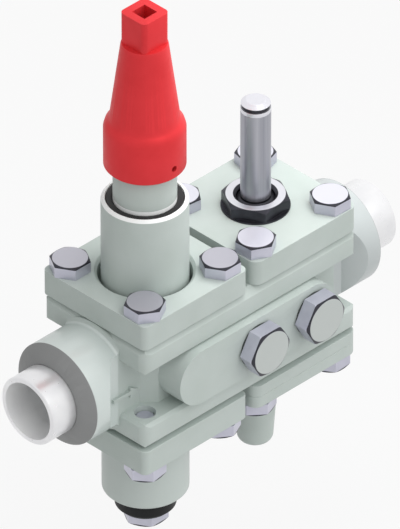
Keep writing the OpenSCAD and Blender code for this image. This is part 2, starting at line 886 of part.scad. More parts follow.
module check_gasket() {
    color(gasket_colour) translate([sol_x, 0, 0])
        ring(ring_in_r, ring_out_r - fit_gap, -flange_z, gasket_t);
}

module check_adapter_plate() {
    color(cast_colour) translate([sol_x, 0, 0])
    difference() {
        union() {
            translate([0, 0, -adapter_z])
                linear_extrude(adapter_t) cover_outline(wide_corner_r, adapter_bore_r);
            ring(adapter_bore_r + 2, chamber_r - 0.1, -flange_z - 1, 3.5);
        }
        translate([0, 0, -adapter_z - cut])
            cylinder(r = ring_out_r, h = gasket_t + cut);
    }
}

module adapter_gasket() {
    color(gasket_colour) translate([sol_x, 0, 0])
        ring(adapter_bore_r + 1, ring_out_r - fit_gap, -adapter_z, gasket_t);
}

module check_cover() {
    tip_round = 4;
    tip_z = check_boss_z;
    arc = [for (a = [0:15:90])
           [check_tip_r - tip_round + tip_round * cos(a),
            -tip_z + tip_round - tip_round * sin(a)]];
    color(cast_colour) translate([sol_x, 0, 0])
    difference() {
        union() {
            translate([0, 0, -check_cover_z])
                linear_extrude(check_cover_t) cover_outline(wide_corner_r, stem_r + 2);
            rotate_extrude()
                polygon(concat([[0, -adapter_z], [check_boss_r, -adapter_z],
                                [check_boss_r, -check_cover_z]], arc,
                               [[0, -tip_z]]));
        }
        translate([0, 0, -seat_z - shut_gap - stem_l - check_lift - 2])
            cylinder(r = stem_r + run_gap, h = stem_l);
    }
}

module check_cover_bolts() {
    cover_bolts(sol_x, check_cover_z, -1, bolt_l - cover_t + adapter_t + check_cover_t,
                check_turns);
}

// Port plugs

module port_gaskets(side) {
    color(gasket_colour)
    for (x = port_x)
        translate([x, side * pad_reach, 0]) rotate([-side * 90, 0, 0])
            ring(port_r + 0.2, port_gasket_r, 0, gasket_t);
}

module port_plugs(side) {
    color(zinc_colour)
    for (x = port_x)
        translate([x, side * (pad_reach + gasket_t), 0]) rotate([-side * 90, 0, 0])
            hex_screw(plug_af, plug_head_h, 2 * port_r, port_depth - 1);
}

module front_port_gaskets() {
    port_gaskets(-1);
}

module front_port_plugs() {
    port_plugs(-1);
}

module back_port_gaskets() {
    port_gaskets(1);
}

module back_port_plugs() {
    port_plugs(1);
}

housing();
inlet_weld_neck();
outlet_weld_neck();
regulator_seat_ring();
regulator_cone();
regulator_spindle();
bonnet_gasket();
regulator_bonnet();
regulator_cover();
regulator_cover_bolts();
spindle_packing();
packing_gland();
cap_gasket();
seal_cap();
strainer_gasket();
strainer_element();
strainer_cover();
strainer_cover_bolts();
drain_gasket();
drain_plug();
valve_seat_ring();
main_piston();
piston_ring();
main_spring();
solenoid_gasket();
solenoid_cover();
solenoid_cover_bolts();
tube_seal();
armature_tube();
fixed_core();
armature();
pilot_seal();
armature_spring();
armature_nut();
check_disc();
check_spring();
check_gasket();
check_adapter_plate();
adapter_gasket();
check_cover();
check_cover_bolts();
front_port_gaskets();
front_port_plugs();
back_port_gaskets();
back_port_plugs();
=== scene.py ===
# Looks of a refrigeration valve station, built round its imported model
import json
import math

import bmesh
import bpy
import numpy as np
from mathutils import Matrix, Vector


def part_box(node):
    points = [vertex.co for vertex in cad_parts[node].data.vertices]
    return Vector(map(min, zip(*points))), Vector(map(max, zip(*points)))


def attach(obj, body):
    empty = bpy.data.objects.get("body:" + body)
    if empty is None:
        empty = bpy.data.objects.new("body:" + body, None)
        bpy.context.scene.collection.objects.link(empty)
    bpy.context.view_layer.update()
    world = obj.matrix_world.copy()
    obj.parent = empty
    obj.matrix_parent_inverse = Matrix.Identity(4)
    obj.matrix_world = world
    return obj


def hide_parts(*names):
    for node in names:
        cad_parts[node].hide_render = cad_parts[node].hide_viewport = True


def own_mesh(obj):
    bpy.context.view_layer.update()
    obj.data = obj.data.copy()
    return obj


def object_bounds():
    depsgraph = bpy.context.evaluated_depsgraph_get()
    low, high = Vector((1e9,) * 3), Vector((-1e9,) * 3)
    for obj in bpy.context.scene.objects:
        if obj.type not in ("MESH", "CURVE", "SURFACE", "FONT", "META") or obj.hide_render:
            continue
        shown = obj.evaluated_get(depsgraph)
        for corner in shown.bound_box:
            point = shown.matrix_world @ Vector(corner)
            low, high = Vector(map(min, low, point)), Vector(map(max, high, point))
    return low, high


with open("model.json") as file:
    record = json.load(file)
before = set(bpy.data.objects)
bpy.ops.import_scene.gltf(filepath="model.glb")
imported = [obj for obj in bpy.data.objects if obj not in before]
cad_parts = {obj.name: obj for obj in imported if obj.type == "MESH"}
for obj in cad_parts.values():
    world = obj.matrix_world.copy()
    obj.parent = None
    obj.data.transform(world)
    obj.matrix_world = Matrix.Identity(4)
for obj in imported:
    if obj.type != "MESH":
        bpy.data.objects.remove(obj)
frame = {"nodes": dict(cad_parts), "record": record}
cadLow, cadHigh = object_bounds()
nodes = frame["nodes"]
mm = 0.001
far = 1.0                        # metres, past the object on every axis
print("frame loaded with", len(nodes), "nodes")


# Places that the pieces share, all read from the frame

def middle(node):
    low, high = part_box(node)
    return (low + high) / 2


leftX = middle("regulator_cover").x
rightX = middle("solenoid_cover").x
midX = (cadLow.x + cadHigh.x) / 2


# Camera: a long lens close to the direction of an isometric drawing, long enough to
# look parallel and short enough for views from other sides to reach the object

view = {
    "lens": 1200.0,
    "sensor": 36.0,
    "distance": 8.0416,         # metres from the aim
    "azimuth": -44.962,          # degrees from a look along +Y
    "elevation": 35.500,
    "aimUp": 0.02112,            # the aim's place above and left of the flow axis
    "aimRight": -0.000206,
    "clip": (1.0, 80.0),
}


def placeCamera(v):
    turn, tilt = math.radians(v["azimuth"]), math.radians(v["elevation"])
    right = Vector((math.cos(turn), math.sin(turn), 0))
    back = Vector((math.sin(turn) * math.cos(tilt), -math.cos(turn) * math.cos(tilt),
                   math.sin(tilt)))
    up = back.cross(right)
    aim = Vector((midX, 0, 0)) + up * v["aimUp"] + right * v["aimRight"]
    camera = bpy.data.objects.new("camera", bpy.data.cameras.new("camera"))
    bpy.context.collection.objects.link(camera)
    camera.data.lens = v["lens"]
    camera.data.sensor_width = v["sensor"]
    camera.data.clip_start, camera.data.clip_end = v["clip"]
    camera.location = aim + back * v["distance"]
    camera.rotation_mode = "QUATERNION"
    camera.rotation_quaternion = Matrix((right, up, back)).transposed().to_quaternion()
    bpy.context.scene.camera = camera


placeCamera(view)


# Light: a pale world, brighter from above and in front, one soft sun and a soft near lamp

lights = {
    "worldLevel": 0.52,
    "worldLean": (0.19, -0.38, 0.46),    # how much brighter the world is towards X, Y and Z
    "sunPlace": (0, 0, 0.5),
    "sunDirection": (0.0, 0.68, -0.74),
    "sunStrength": 0.55,
    "sunAngle": 40.0,                    # degrees, for soft shadows
    "lampPlace": (0.19, -0.01, 0.22),
    "lampTarget": (rightX, 0, 0.04),
    "lampWatts": 0.30,
    "lampSize": 0.14,
}


def backdropRays(tree):
    # 1 for the rays that show the backdrop as it is: from the camera, mirrored or let through
    path = tree.nodes.new("ShaderNodeLightPath")
    share = path.outputs["Is Camera Ray"]
    for ray in ("Is Glossy Ray", "Is Transmission Ray"):
        either = tree.nodes.new("ShaderNodeMath")
        either.operation = "MAXIMUM"
        tree.links.new(share, either.inputs[0])
        tree.links.new(path.outputs[ray], either.inputs[1])
        share = either.outputs[0]
    return share


def makeWorld(v):
    world = bpy.data.worlds.new("studio")
    bpy.context.scene.world = world
    world.use_nodes = True
    tree = world.node_tree
    tree.nodes.clear()
    add = tree.nodes.new
    lean = add("ShaderNodeVectorMath")
    lean.operation = "DOT_PRODUCT"
    lean.inputs[1].default_value = v["worldLean"]
    tree.links.new(add("ShaderNodeTexCoord").outputs["Generated"], lean.inputs[0])
    level = add("ShaderNodeMath")
    level.operation = "ADD"
    level.inputs[1].default_value = v["worldLevel"]
    tree.links.new(lean.outputs["Value"], level.inputs[0])
    soft = add("ShaderNodeBackground")
    tree.links.new(level.outputs[0], soft.inputs["Strength"])
    white = add("ShaderNodeBackground")
    for shader in (soft, white):
        shader.inputs["Color"].default_value = (1, 1, 1, 1)
    mix = add("ShaderNodeMixShader")
    out = add("ShaderNodeOutputWorld")
    tree.links.new(backdropRays(tree), mix.inputs[0])
    tree.links.new(soft.outputs[0], mix.inputs[1])
    tree.links.new(white.outputs[0], mix.inputs[2])
    tree.links.new(mix.outputs[0], out.inputs["Surface"])


def aimed(name, data, place, direction):
    lamp = bpy.data.objects.new(name, data)
    lamp.location = place
    lamp.rotation_mode = "QUATERNION"
    lamp.rotation_quaternion = Vector(direction).to_track_quat("-Z", "Y")
    bpy.context.collection.objects.link(lamp)
    return lamp


def makeLamps(v):
    sun = bpy.data.lights.new("sun", "SUN")
    sun.energy = v["sunStrength"]
    sun.angle = math.radians(v["sunAngle"])
    aimed("sun", sun, v["sunPlace"], v["sunDirection"])
    near = bpy.data.lights.new("nearLamp", "AREA")
    near.energy = v["lampWatts"]
    near.size = v["lampSize"]
    place = Vector(v["lampPlace"])
    lamp = aimed("nearLamp", near, place, Vector(v["lampTarget"]) - place)
    lamp.visible_camera = False
    lamp.visible_glossy = False


makeWorld(lights)
makeLamps(lights)
bpy.context.scene.view_settings.view_transform = "Standard"
print("camera and light placed")


# Materials: every pattern reads Object coordinates, in metres

def startMaterial(name):
    material = bpy.data.materials.new(name)
    material.use_nodes = True
    tree = material.node_tree
    shader = tree.nodes["Principled BSDF"]
    place = tree.nodes.new("ShaderNodeTexCoord").outputs["Object"]
    return material, tree, shader, place


def noise(tree, place, size, detail=4.0):
    # size is the width of a patch in metres
    node = tree.nodes.new("ShaderNodeTexNoise")
    node.inputs["Scale"].default_value = 1.0 / size
    node.inputs["Detail"].default_value = detail
    tree.links.new(place, node.inputs["Vector"])
    return node.outputs["Fac"]


def spread(tree, value, low, high):
    # maps a noise's middle range onto low to high
    node = tree.nodes.new("ShaderNodeMapRange")
    node.inputs["From Min"].default_value = 0.3
    node.inputs["From Max"].default_value = 0.7
    node.inputs["To Min"].default_value = low
    node.inputs["To Max"].default_value = high
    tree.links.new(value, node.inputs["Value"])
    return node.outputs["Result"]


def shades(tree, value, dark, light):
    node = tree.nodes.new("ShaderNodeMix")
    node.data_type = "RGBA"
    node.inputs["A"].default_value = (*dark, 1)
    node.inputs["B"].default_value = (*light, 1)
    tree.links.new(spread(tree, value, 0.0, 1.0), node.inputs["Factor"])
    return node.outputs["Result"]


def relief(tree, shader, height, depth, strength):
    # depth is the height of the relief in metres
    node = tree.nodes.new("ShaderNodeBump")
    node.inputs["Strength"].default_value = strength
    node.inputs["Distance"].default_value = depth
    tree.links.new(height, node.inputs["Height"])
    tree.links.new(node.outputs["Normal"], shader.inputs["Normal"])


def linear(red, green, blue):
    # screen colour of 0 to 255 as a linear colour
    screen = np.array((red, green, blue)) / 255
    return tuple(np.where(screen <= 0.04045, screen / 12.92, ((screen + 0.055) / 1.055) ** 2.4))


def band(tree, place, axis, low, high, edge=0.00005):
    # 1 between the two places along an axis of the object, 0 outside them
    split = tree.nodes.new("ShaderNodeSeparateXYZ")
    tree.links.new(place, split.inputs[0])
    rows = []
    for limit, sign in ((low, 1), (high, -1)):
        step = tree.nodes.new("ShaderNodeMapRange")
        step.inputs["From Min"].default_value = limit - edge
        step.inputs["From Max"].default_value = limit + edge
        step.inputs["To Min"].default_value = 0 if sign > 0 else 1
        step.inputs["To Max"].default_value = 1 if sign > 0 else 0
        tree.links.new(split.outputs[axis], step.inputs["Value"])
        rows.append(step.outputs["Result"])
    both = tree.nodes.new("ShaderNodeMath")
    both.operation = "MULTIPLY"
    tree.links.new(rows[0], both.inputs[0])
    tree.links.new(rows[1], both.inputs[1])
    return both.outputs[0]


def mixed(tree, kind, share, first, second):
    # first where share is 0, second where it is 1; each may be a value or a socket
    node = tree.nodes.new("ShaderNodeMix")
    node.data_type = kind
    tree.links.new(share, node.inputs["Factor"])
    for socket, value in (("A", first), ("B", second)):
        place = next(i for i in node.inputs if i.name == socket and i.enabled)
        if isinstance(value, bpy.types.NodeSocket):
            tree.links.new(value, place)
        else:
            place.default_value = (*value, 1) if kind == "RGBA" else value
    return next(o for o in node.outputs if o.enabled)


# Settings of a material: metallic share, darkest and lightest tone, then for each pattern the
# width of its patches in metres and its noise detail, and the range or depth that it drives

paint = {
    "dark": linear(181, 191, 186), "light": linear(189, 198, 194), "patch": (0.022, 6),
    "gloss": (0.42, 0.56), "glossPatch": (0.006, 3), "shine": 0.35,
    "skin": (0.0011, 3), "depth": 0.00005, "strength": 0.5,
}
zinc = {
    "metallic": 0.55, "dark": linear(186, 186, 200), "light": linear(200, 200, 213),
    "patch": (0.01, 4), "gloss": (0.30, 0.39), "glossPatch": (0.005, 3),
    "skin": (0.0004, 2), "depth": 0.000004, "strength": 0.5,
}
# dark steel of the armature nut
darkNutSteel = {
    "metallic": 0.8, "dark": linear(52, 52, 58), "light": linear(68, 68, 76),
    "patch": (0.006, 4), "gloss": (0.30, 0.42), "glossPatch": (0.003, 3),
    "skin": (0.0005, 2), "depth": 0.000004, "strength": 0.4,
}
red = {
    "metallic": 0.4, "dark": linear(212, 54, 58), "light": linear(222, 60, 65),
    "patch": (0.02, 5), "gloss": (0.40, 0.50), "glossPatch": (0.004, 3), "shine": 0.12,
    "skin": (0.0016, 2), "depth": 0.00002, "strength": 0.4,
}


def patched(name, v, zones=()):
    # a tone, a gloss and a skin that change in patches; each zone, as an axis, two places
    # along it and a tone, has its own tone
    material, tree, shader, place = startMaterial(name)
    shader.inputs["Metallic"].default_value = v["metallic"]
    tone = shades(tree, noise(tree, place, *v["patch"]), v["dark"], v["light"])
    for axis, low, high, zoneTone in zones:
        tone = mixed(tree, "RGBA", band(tree, place, axis, low, high), tone, zoneTone)
    tree.links.new(tone, shader.inputs["Base Color"])
    gloss = spread(tree, noise(tree, place, *v["glossPatch"]), *v["gloss"])
    tree.links.new(gloss, shader.inputs["Roughness"])
    if "shine" in v:
        shader.inputs["Specular IOR Level"].default_value = v["shine"]
    relief(tree, shader, noise(tree, place, *v["skin"]), v["depth"], v["strength"])
    return material


def castPaint(name, v, faces=()):
    # satin pale grey-green paint over a fine cast skin; each part that is listed, as an axis,
    # two places on it, a tone, a roughness and a shine, differs there
    material, tree, shader, place = startMaterial(name)
    tone = shades(tree, noise(tree, place, *v["patch"]), v["dark"], v["light"])
    gloss = spread(tree, noise(tree, place, *v["glossPatch"]), *v["gloss"])
    shine = v["shine"]
    for axis, low, high, partTone, partGloss, partShine in faces:
        here = band(tree, place, axis, low, high)
        tone = mixed(tree, "RGBA", here, tone, partTone)
        gloss = mixed(tree, "FLOAT", here, gloss, partGloss)
        shine = mixed(tree, "FLOAT", here, shine, partShine)
    tree.links.new(tone, shader.inputs["Base Color"])
    tree.links.new(gloss, shader.inputs["Roughness"])
    if faces:
        tree.links.new(shine, shader.inputs["Specular IOR Level"])
    else:
        shader.inputs["Specular IOR Level"].default_value = shine
    relief(tree, shader, noise(tree, place, *v["skin"]), v["depth"], v["strength"])
    return material


def metal(name, dark, light, rough, metallic=0.85):
    # plain metal with slight changes of tone and gloss
    return patched(name, {
        "metallic": metallic, "dark": dark, "light": light, "patch": (0.01, 4),
        "gloss": (rough - 0.04, rough + 0.05), "glossPatch": (0.005, 3),
        "skin": (0.0004, 2), "depth": 0.000004, "strength": 0.5})


def turnedSteel(name, v, dark, light, rough, metallic):
    # bright steel, its fine tool marks rings round the flow axis
    material, tree, shader, place = startMaterial(name)
    shader.inputs["Metallic"].default_value = metallic
    tone = shades(tree, noise(tree, place, *v["patch"]), dark, light)
    tree.links.new(tone, shader.inputs["Base Color"])
    gloss = spread(tree, noise(tree, place, *v["glossPatch"]), rough - 0.03, rough + 0.04)
    tree.links.new(gloss, shader.inputs["Roughness"])
    wave = tree.nodes.new("ShaderNodeTexWave")
    wave.bands_direction = "X"
    wave.inputs["Scale"].default_value = 0.05 / v["pitch"]
    wave.inputs["Distortion"].default_value = 0.6
    tree.links.new(place, wave.inputs["Vector"])
    relief(tree, shader, wave.outputs["Fac"], v["depth"], v["strength"])
    return material


def drawnSteel(name, v, endFrom, hub, groove):
    # drawn tube with streaks along Z, a brighter turned end above the given height, and dark
    # below the hub's height and in the groove
    material, tree, shader, place = startMaterial(name)
    shader.inputs["Metallic"].default_value = v["metallic"]
    squeeze = tree.nodes.new("ShaderNodeMapping")
    squeeze.inputs["Scale"].default_value = (1, 1, v["squeeze"])
    tree.links.new(place, squeeze.inputs["Vector"])
    streak = noise(tree, squeeze.outputs["Vector"], *v["streak"])
    tone = shades(tree, streak, v["dark"], v["light"])
    tone = mixed(tree, "RGBA", band(tree, place, "Z", endFrom, far), tone, v["endTone"])
    for low, high in ((-far, hub), groove):
        tone = mixed(tree, "RGBA", band(tree, place, "Z", low, high), tone, v["shadeTone"])
    tree.links.new(tone, shader.inputs["Base Color"])
    shader.inputs["Roughness"].default_value = v["rough"]
    relief(tree, shader, streak, v["depth"], v["strength"])
    return material


def darkSoft(name, tone, rough):
    # gaskets and packing, with a faint fibre
    material, tree, shader, place = startMaterial(name)
    lighter = tuple(min(1.0, c * 1.5) for c in tone)
    tree.links.new(shades(tree, noise(tree, place, 0.0008, 5), tone, lighter),
                   shader.inputs["Base Color"])
    shader.inputs["Roughness"].default_value = rough
    relief(tree, shader, noise(tree, place, 0.0005, 3), 0.00003, 0.5)
    return material


# Places of parts with a tone of their own and of painted highlights, painted light and painted
# shade, in metres; a face's tone reaches a little below it

faceSkin = 0.0001
discSkin = 0.00004
headChamfer = 0.00095
coreGroove = (0.0965, 0.0985)
cupFloor, cupTop = -0.0801, -0.042
shoulderLow, shoulderHigh = 0.0806, 0.0832
boss = {"coneEnd": 0.0192, "root": 0.041}
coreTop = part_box("armature_tube")[1].z
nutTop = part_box("armature_nut")[1].z

# lighter tone of the inlet boss: a painted highlight along its cylinder
bossHighlightTone = linear(202, 211, 208)
outletTone = linear(184, 190, 190)
greyFace = linear(144, 145, 145)
# near black on the heads' chamfers and the plugs' rims: painted shade
chamferShadeTone = linear(52, 52, 60)
plugTone = linear(190, 196, 192)

turned = {"patch": (0.012, 3), "glossPatch": (0.004, 3), "pitch": 0.00035,
          "depth": 0.000006, "strength": 0.4}
drawn = {
    "metallic": 0.85, "dark": linear(146, 147, 156), "light": linear(176, 177, 184),
    "endTone": linear(222, 222, 228), "shadeTone": linear(62, 62, 68), "rough": 0.36,
    "streak": (0.0018, 3), "squeeze": 0.01, "depth": 0.00001, "strength": 0.3,
}
finishes = {
    "cast_body": castPaint("castPaint", paint),
    "machined_steel": turnedSteel("bareSteel", turned, linear(228, 228, 230),
                                  linear(238, 238, 239), 0.30, 0.75),
    "zinc_plate": metal("zincPlate", zinc["dark"], zinc["light"], 0.34, zinc["metallic"]),
    "tube_steel": drawnSteel("tubeSteel", drawn, coreTop, nutTop - 0.0004, coreGroove),
    "cap_red": patched("redCoat", red),
    "bright_steel": metal("groundSteel", linear(200, 200, 204), linear(216, 216, 220), 0.26),
    "spring_steel": metal("springSteel", linear(140, 140, 146), linear(160, 160, 166), 0.30),
    "gland_brass": metal("glandBrass", linear(188, 152, 84), linear(206, 170, 98), 0.28),
    "gasket_fibre": darkSoft("gasketFibre", linear(54, 58, 58), 0.75),
    "seal_rubber": darkSoft("sealRubber", linear(26, 26, 27), 0.6),
}
special = {
    "housing": castPaint("castPaintHousing", paint, (
        # the inlet boss is painted lighter, a painted highlight, as well as glossier
        ("X", -far, boss["root"], bossHighlightTone, 0.24, 0.9),
        ("X", cadHigh.x - boss["root"], 2 * far, outletTone, 0.3, 0.5),
        ("X", -far, boss["coneEnd"] + faceSkin, greyFace, 0.5, 0.2),
        ("X", cadHigh.x - boss["coneEnd"] - faceSkin, 2 * far, greyFace, 0.5, 0.2))),
    # the bonnet's shoulder is painted near white: a painted highlight round it
    "regulator_bonnet": castPaint("castPaintBonnet", paint, (
        ("Z", shoulderLow, shoulderHigh, linear(248, 250, 249), 0.3, 0.5),)),
    "strainer_cover": castPaint("castPaintCup", paint, (
        # below the cup's floor the drain neck is painted near black: painted shade
        ("Z", -far, cupFloor, linear(24, 25, 26), 0.5, 0.2),
        # the cup between its floor and top is painted lighter than the paint: painted light
        ("Z", cupFloor, cupTop, linear(192, 201, 197), 0.4, 0.35))),
    # the nut's top face is painted near white: painted light on its top
    "armature_nut": patched("nutSteel", darkNutSteel, (
        ("Z", nutTop - faceSkin, far, linear(226, 226, 232)),)),
}
# top discs of the heads: darker on the regulator's bolts, lighter on the solenoid's: painted
# light that is brighter towards the right
for nodeName, litDiscTone in (("regulator_cover_bolts", linear(184, 183, 192)),
                           ("solenoid_cover_bolts", linear(222, 222, 232))):
    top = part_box(nodeName)[1].z
    # the chamfer round each head's top disc is painted near black, painted shade
    special[nodeName] = patched(nodeName + "Zinc", zinc, (
        ("Z", top - headChamfer, top - discSkin, chamferShadeTone), ("Z", top - discSkin, far, litDiscTone)))
# the chamfer round each head's lower end is painted near black, painted shade
for nodeName in ("strainer_cover_bolts", "check_cover_bolts", "drain_plug"):
    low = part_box(nodeName)[0].z
    special[nodeName] = patched(nodeName + "Zinc", zinc, (
        ("Z", low, low + headChamfer, chamferShadeTone),))
# each plug's rim is painted near black, painted shade
for nodeName, side in (("front_port_plugs", -1), ("back_port_plugs", 1)):
    end = max(abs(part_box(nodeName)[0].y), abs(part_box(nodeName)[1].y))
    rim = sorted((side * (end - headChamfer), side * (end - discSkin)))
    face = sorted((side * (end - discSkin), side * far))
    special[nodeName] = patched(nodeName + "Zinc", zinc, (
        ("Y", *rim, chamferShadeTone), ("Y", *face, plugTone)))
# the bores' faces: near white and not metallic, painted light that keeps the bore bright
boreSteel = turnedSteel("boreSteel", turned, linear(238, 238, 239), linear(246, 246, 246),
                        0.45, 0.0)
slotOf = {row["node"]: row["material_slot"] for row in frame["record"]["subparts"]}
bodyOf = {node: body for body, names in frame["record"]["behaviour"]["bodies"].items()
          for node in names}


def finishOf(nodeName):
    return special.get(nodeName, finishes[slotOf[nodeName]])


for nodeName, piece in nodes.items():
    piece.data.materials.clear()
    piece.data.materials.append(finishOf(nodeName))
print("materials made")


# Shared ways of making a piece

def addMesh(name, points, faces):
    mesh = bpy.data.meshes.new(name)
    mesh.from_pydata(points.tolist(), [], faces.tolist())
    piece = bpy.data.objects.new(name, mesh)
    bpy.context.collection.objects.link(piece)
    return piece


def cleanMesh(mesh, sharp=32.0):
    # doubles merged, normals outwards, smooth except past the given angle
    work = bmesh.new()
    work.from_mesh(mesh)
    bmesh.ops.remove_doubles(work, verts=work.verts, dist=1e-7)
    flat = [face for face in work.faces if face.calc_area() < 1e-14]
    bmesh.ops.delete(work, geom=flat, context="FACES_ONLY")
    bmesh.ops.recalc_face_normals(work, faces=work.faces)
    work.to_mesh(mesh)
    work.free()
    mesh.shade_smooth()
    mesh.set_sharp_from_angle(angle=math.radians(sharp))


def standIn(piece, *nodeNames):
    # the piece takes over the nodes' body, material slot and place
    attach(piece, bodyOf[nodeNames[0]])
    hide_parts(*nodeNames)
    piece.data.materials.append(finishOf(nodeNames[0]))
    return piece


roundAngles = np.linspace(0, 2 * math.pi, 96, endpoint=False)


def softCorners(corners, steps=4):
    # profile of (radius, height, rounding): each corner becomes an arc that meets both sides,
    # its centre on the corner's bisector at rounding / sin(half angle)
    rows = []
    for i, (r, z, rounding) in enumerate(corners):
        here = np.array((r, z), dtype=float)
        if rounding == 0 or i in (0, len(corners) - 1):
            rows.append(tuple(here))
            continue
        before = np.array(corners[i - 1][:2]) - here
        after = np.array(corners[i + 1][:2]) - here
        before, after = before / np.linalg.norm(before), after / np.linalg.norm(after)
        half = math.acos(np.clip(before @ after, -1, 1)) / 2
        bisector = (before + after) / np.linalg.norm(before + after)
        centre = here + bisector * rounding / math.sin(half)
        reach = rounding / math.tan(half)
        first, last = here + before * reach - centre, here + after * reach - centre
        sweep = math.pi - 2 * half
        for k in range(steps + 1):
            share = k / steps
            arc = np.sin((1 - share) * sweep) * first + np.sin(share * sweep) * last
            rows.append(tuple(centre + arc / math.sin(sweep)))
    return rows


def lathe(name, rows, base, axis=(0, 0, 1)):
    # ring k of the surface is (r cos a, r sin a, z) for every angle a, and r may change with
    # the angle; the last ring joins the first, and the whole is stood on base along the axis
    count = len(roundAngles)
    r = np.stack([np.broadcast_to(row[0], (count,)) for row in rows])
    z = np.stack([np.broadcast_to(row[1], (count,)) for row in rows])
    points = np.stack([r * np.cos(roundAngles), r * np.sin(roundAngles), z], axis=-1) * mm
    toAxis = Vector((0, 0, 1)).rotation_difference(Vector(axis)).to_matrix()
    points = points.reshape(-1, 3) @ np.array(toAxis).T + np.array(base)
    k = np.arange(len(rows))[:, None]
    j = np.arange(count)[None, :]
    nextRow, nextColumn = (k + 1) % len(rows), (j + 1) % count
    faces = np.stack(np.broadcast_arrays(
        k * count + j, k * count + nextColumn,
        nextRow * count + nextColumn, nextRow * count + j), axis=-1)
    piece = addMesh(name, points, faces.reshape(-1, 4))
    cleanMesh(piece.data)
    return piece


def copyOf(nodeName):
    # an object with a copy of the node's mesh, named after it
    name = nodeName.replace("_", " ").title().replace(" ", "")
    name = name[0].lower() + name[1:]
    mesh = nodes[nodeName].data.copy()
    mesh.materials.clear()
    piece = bpy.data.objects.new(name, mesh)
    bpy.context.collection.objects.link(piece)
    return piece


def softened(nodeName, width, angle):
    # a copy of the node with its edges rounded by a bevel
    piece = copyOf(nodeName)
    mesh = piece.data
    work = bmesh.new()
    work.from_mesh(mesh)
    bmesh.ops.remove_doubles(work, verts=work.verts, dist=2e-6)
    bmesh.ops.dissolve_limit(work, angle_limit=math.radians(0.4), verts=work.verts,
                             edges=work.edges)
    work.to_mesh(mesh)
    work.free()
    mesh.shade_smooth()
    mesh.set_sharp_from_angle(angle=math.radians(angle))
    bevel = piece.modifiers.new("edges", "BEVEL")
    bevel.width = width * mm
    bevel.segments = 3
    bevel.limit_method = "ANGLE"
    bevel.angle_limit = math.radians(angle)
    bevel.harden_normals = True
    standIn(piece, nodeName)


# Castings and heads: width of the rounding in mm, and the least angle of an edge that gets it

castings = {
    "housing": (0.7, 34),
    "regulator_cover": (0.7, 34),
    "solenoid_cover": (0.7, 34),
    "check_adapter_plate": (0.7, 34),
    "check_cover": (0.7, 34),
    "strainer_cover": (0.7, 34),
    "seal_cap": (0.35, 34),
    "armature_nut": (0.2, 22),
    "fixed_core": (0.2, 22),
    "regulator_cover_bolts": (0.2, 22),
    "solenoid_cover_bolts": (0.2, 22),
    "strainer_cover_bolts": (0.2, 22),
    "check_cover_bolts": (0.2, 22),
    "front_port_plugs": (0.25, 22),
    "back_port_plugs": (0.25, 22),
    "drain_plug": (0.25, 22),
}
for nodeName, (width, angle) in castings.items():
    softened(nodeName, width, angle)
print("castings and heads softened")


# Weld necks: bored stubs, each edge broken slightly; the rings close at the seam in the bore

weldNeck = {
    "bore": 14.25, "outside": 16.85, "spigot": 16.5, "spigotBore": 15.0,
    "bevel": 0.5, "shoulder": 14.0, "length": 29.2, "edge": 0.15, "seam": (6, 8),
}


def makeWeldNeck(nodeName, name, base, axis, v):
    e = v["edge"]
    seamLow, seamHigh = v["seam"]
    rows = softCorners([
        (v["bore"], seamLow, 0), (v["bore"], 0, e), (v["outside"] - v["bevel"], 0, e),
        (v["outside"], v["bevel"], e), (v["outside"], v["shoulder"], e),
        (v["spigot"], v["shoulder"], 0), (v["spigot"], v["length"], e),
        (v["spigotBore"], v["length"], e), (v["spigotBore"], v["shoulder"], 0),
        (v["bore"], v["shoulder"], e), (v["bore"], seamHigh, 0)])
    neck = standIn(lathe(name, rows, base, axis), nodeName)
    # the bore's faces get the near white, painted light finish
    neck.data.materials.append(boreSteel)
    for face in neck.data.polygons:
        if math.hypot(face.center.y, face.center.z) < (v["spigotBore"] + 0.1) * mm:
            face.material_index = 1


makeWeldNeck("inlet_weld_neck", "inletWeldNeck", (0, 0, 0), (1, 0, 0), weldNeck)
makeWeldNeck("outlet_weld_neck", "outletWeldNeck", (cadHigh.x, 0, 0), (-1, 0, 0), weldNeck)
print("weld necks turned")


# Bonnet: a turned casting, its threaded neck shows when the seal cap is off

bonnet = {
    "foot": 20, "pilot": 20.9, "flangeLow": 22.4, "flange": 24.4, "flangeTop": 28.4,
    "radius": 20.15, "top": 83.0, "shoulderWidth": 2.05, "shoulderDrop": 2.5,
    "neck": 14.65, "groove": 79.0, "neckTop": 118.0,
    "threadFrom": 101.6, "threadPitch": 1.5, "threadDepth": 0.75, "threadRings": 96,
    "threadGap": 1.2,            # from the thread's last turn to the neck's top
    "chamber": 15.0, "chamberSeam": 30, "chamberTop": 58, "stemBore": 5.05,
    "packingBore": 9.0, "packingFloor": 78, "mouthEdge": 0.4,
}


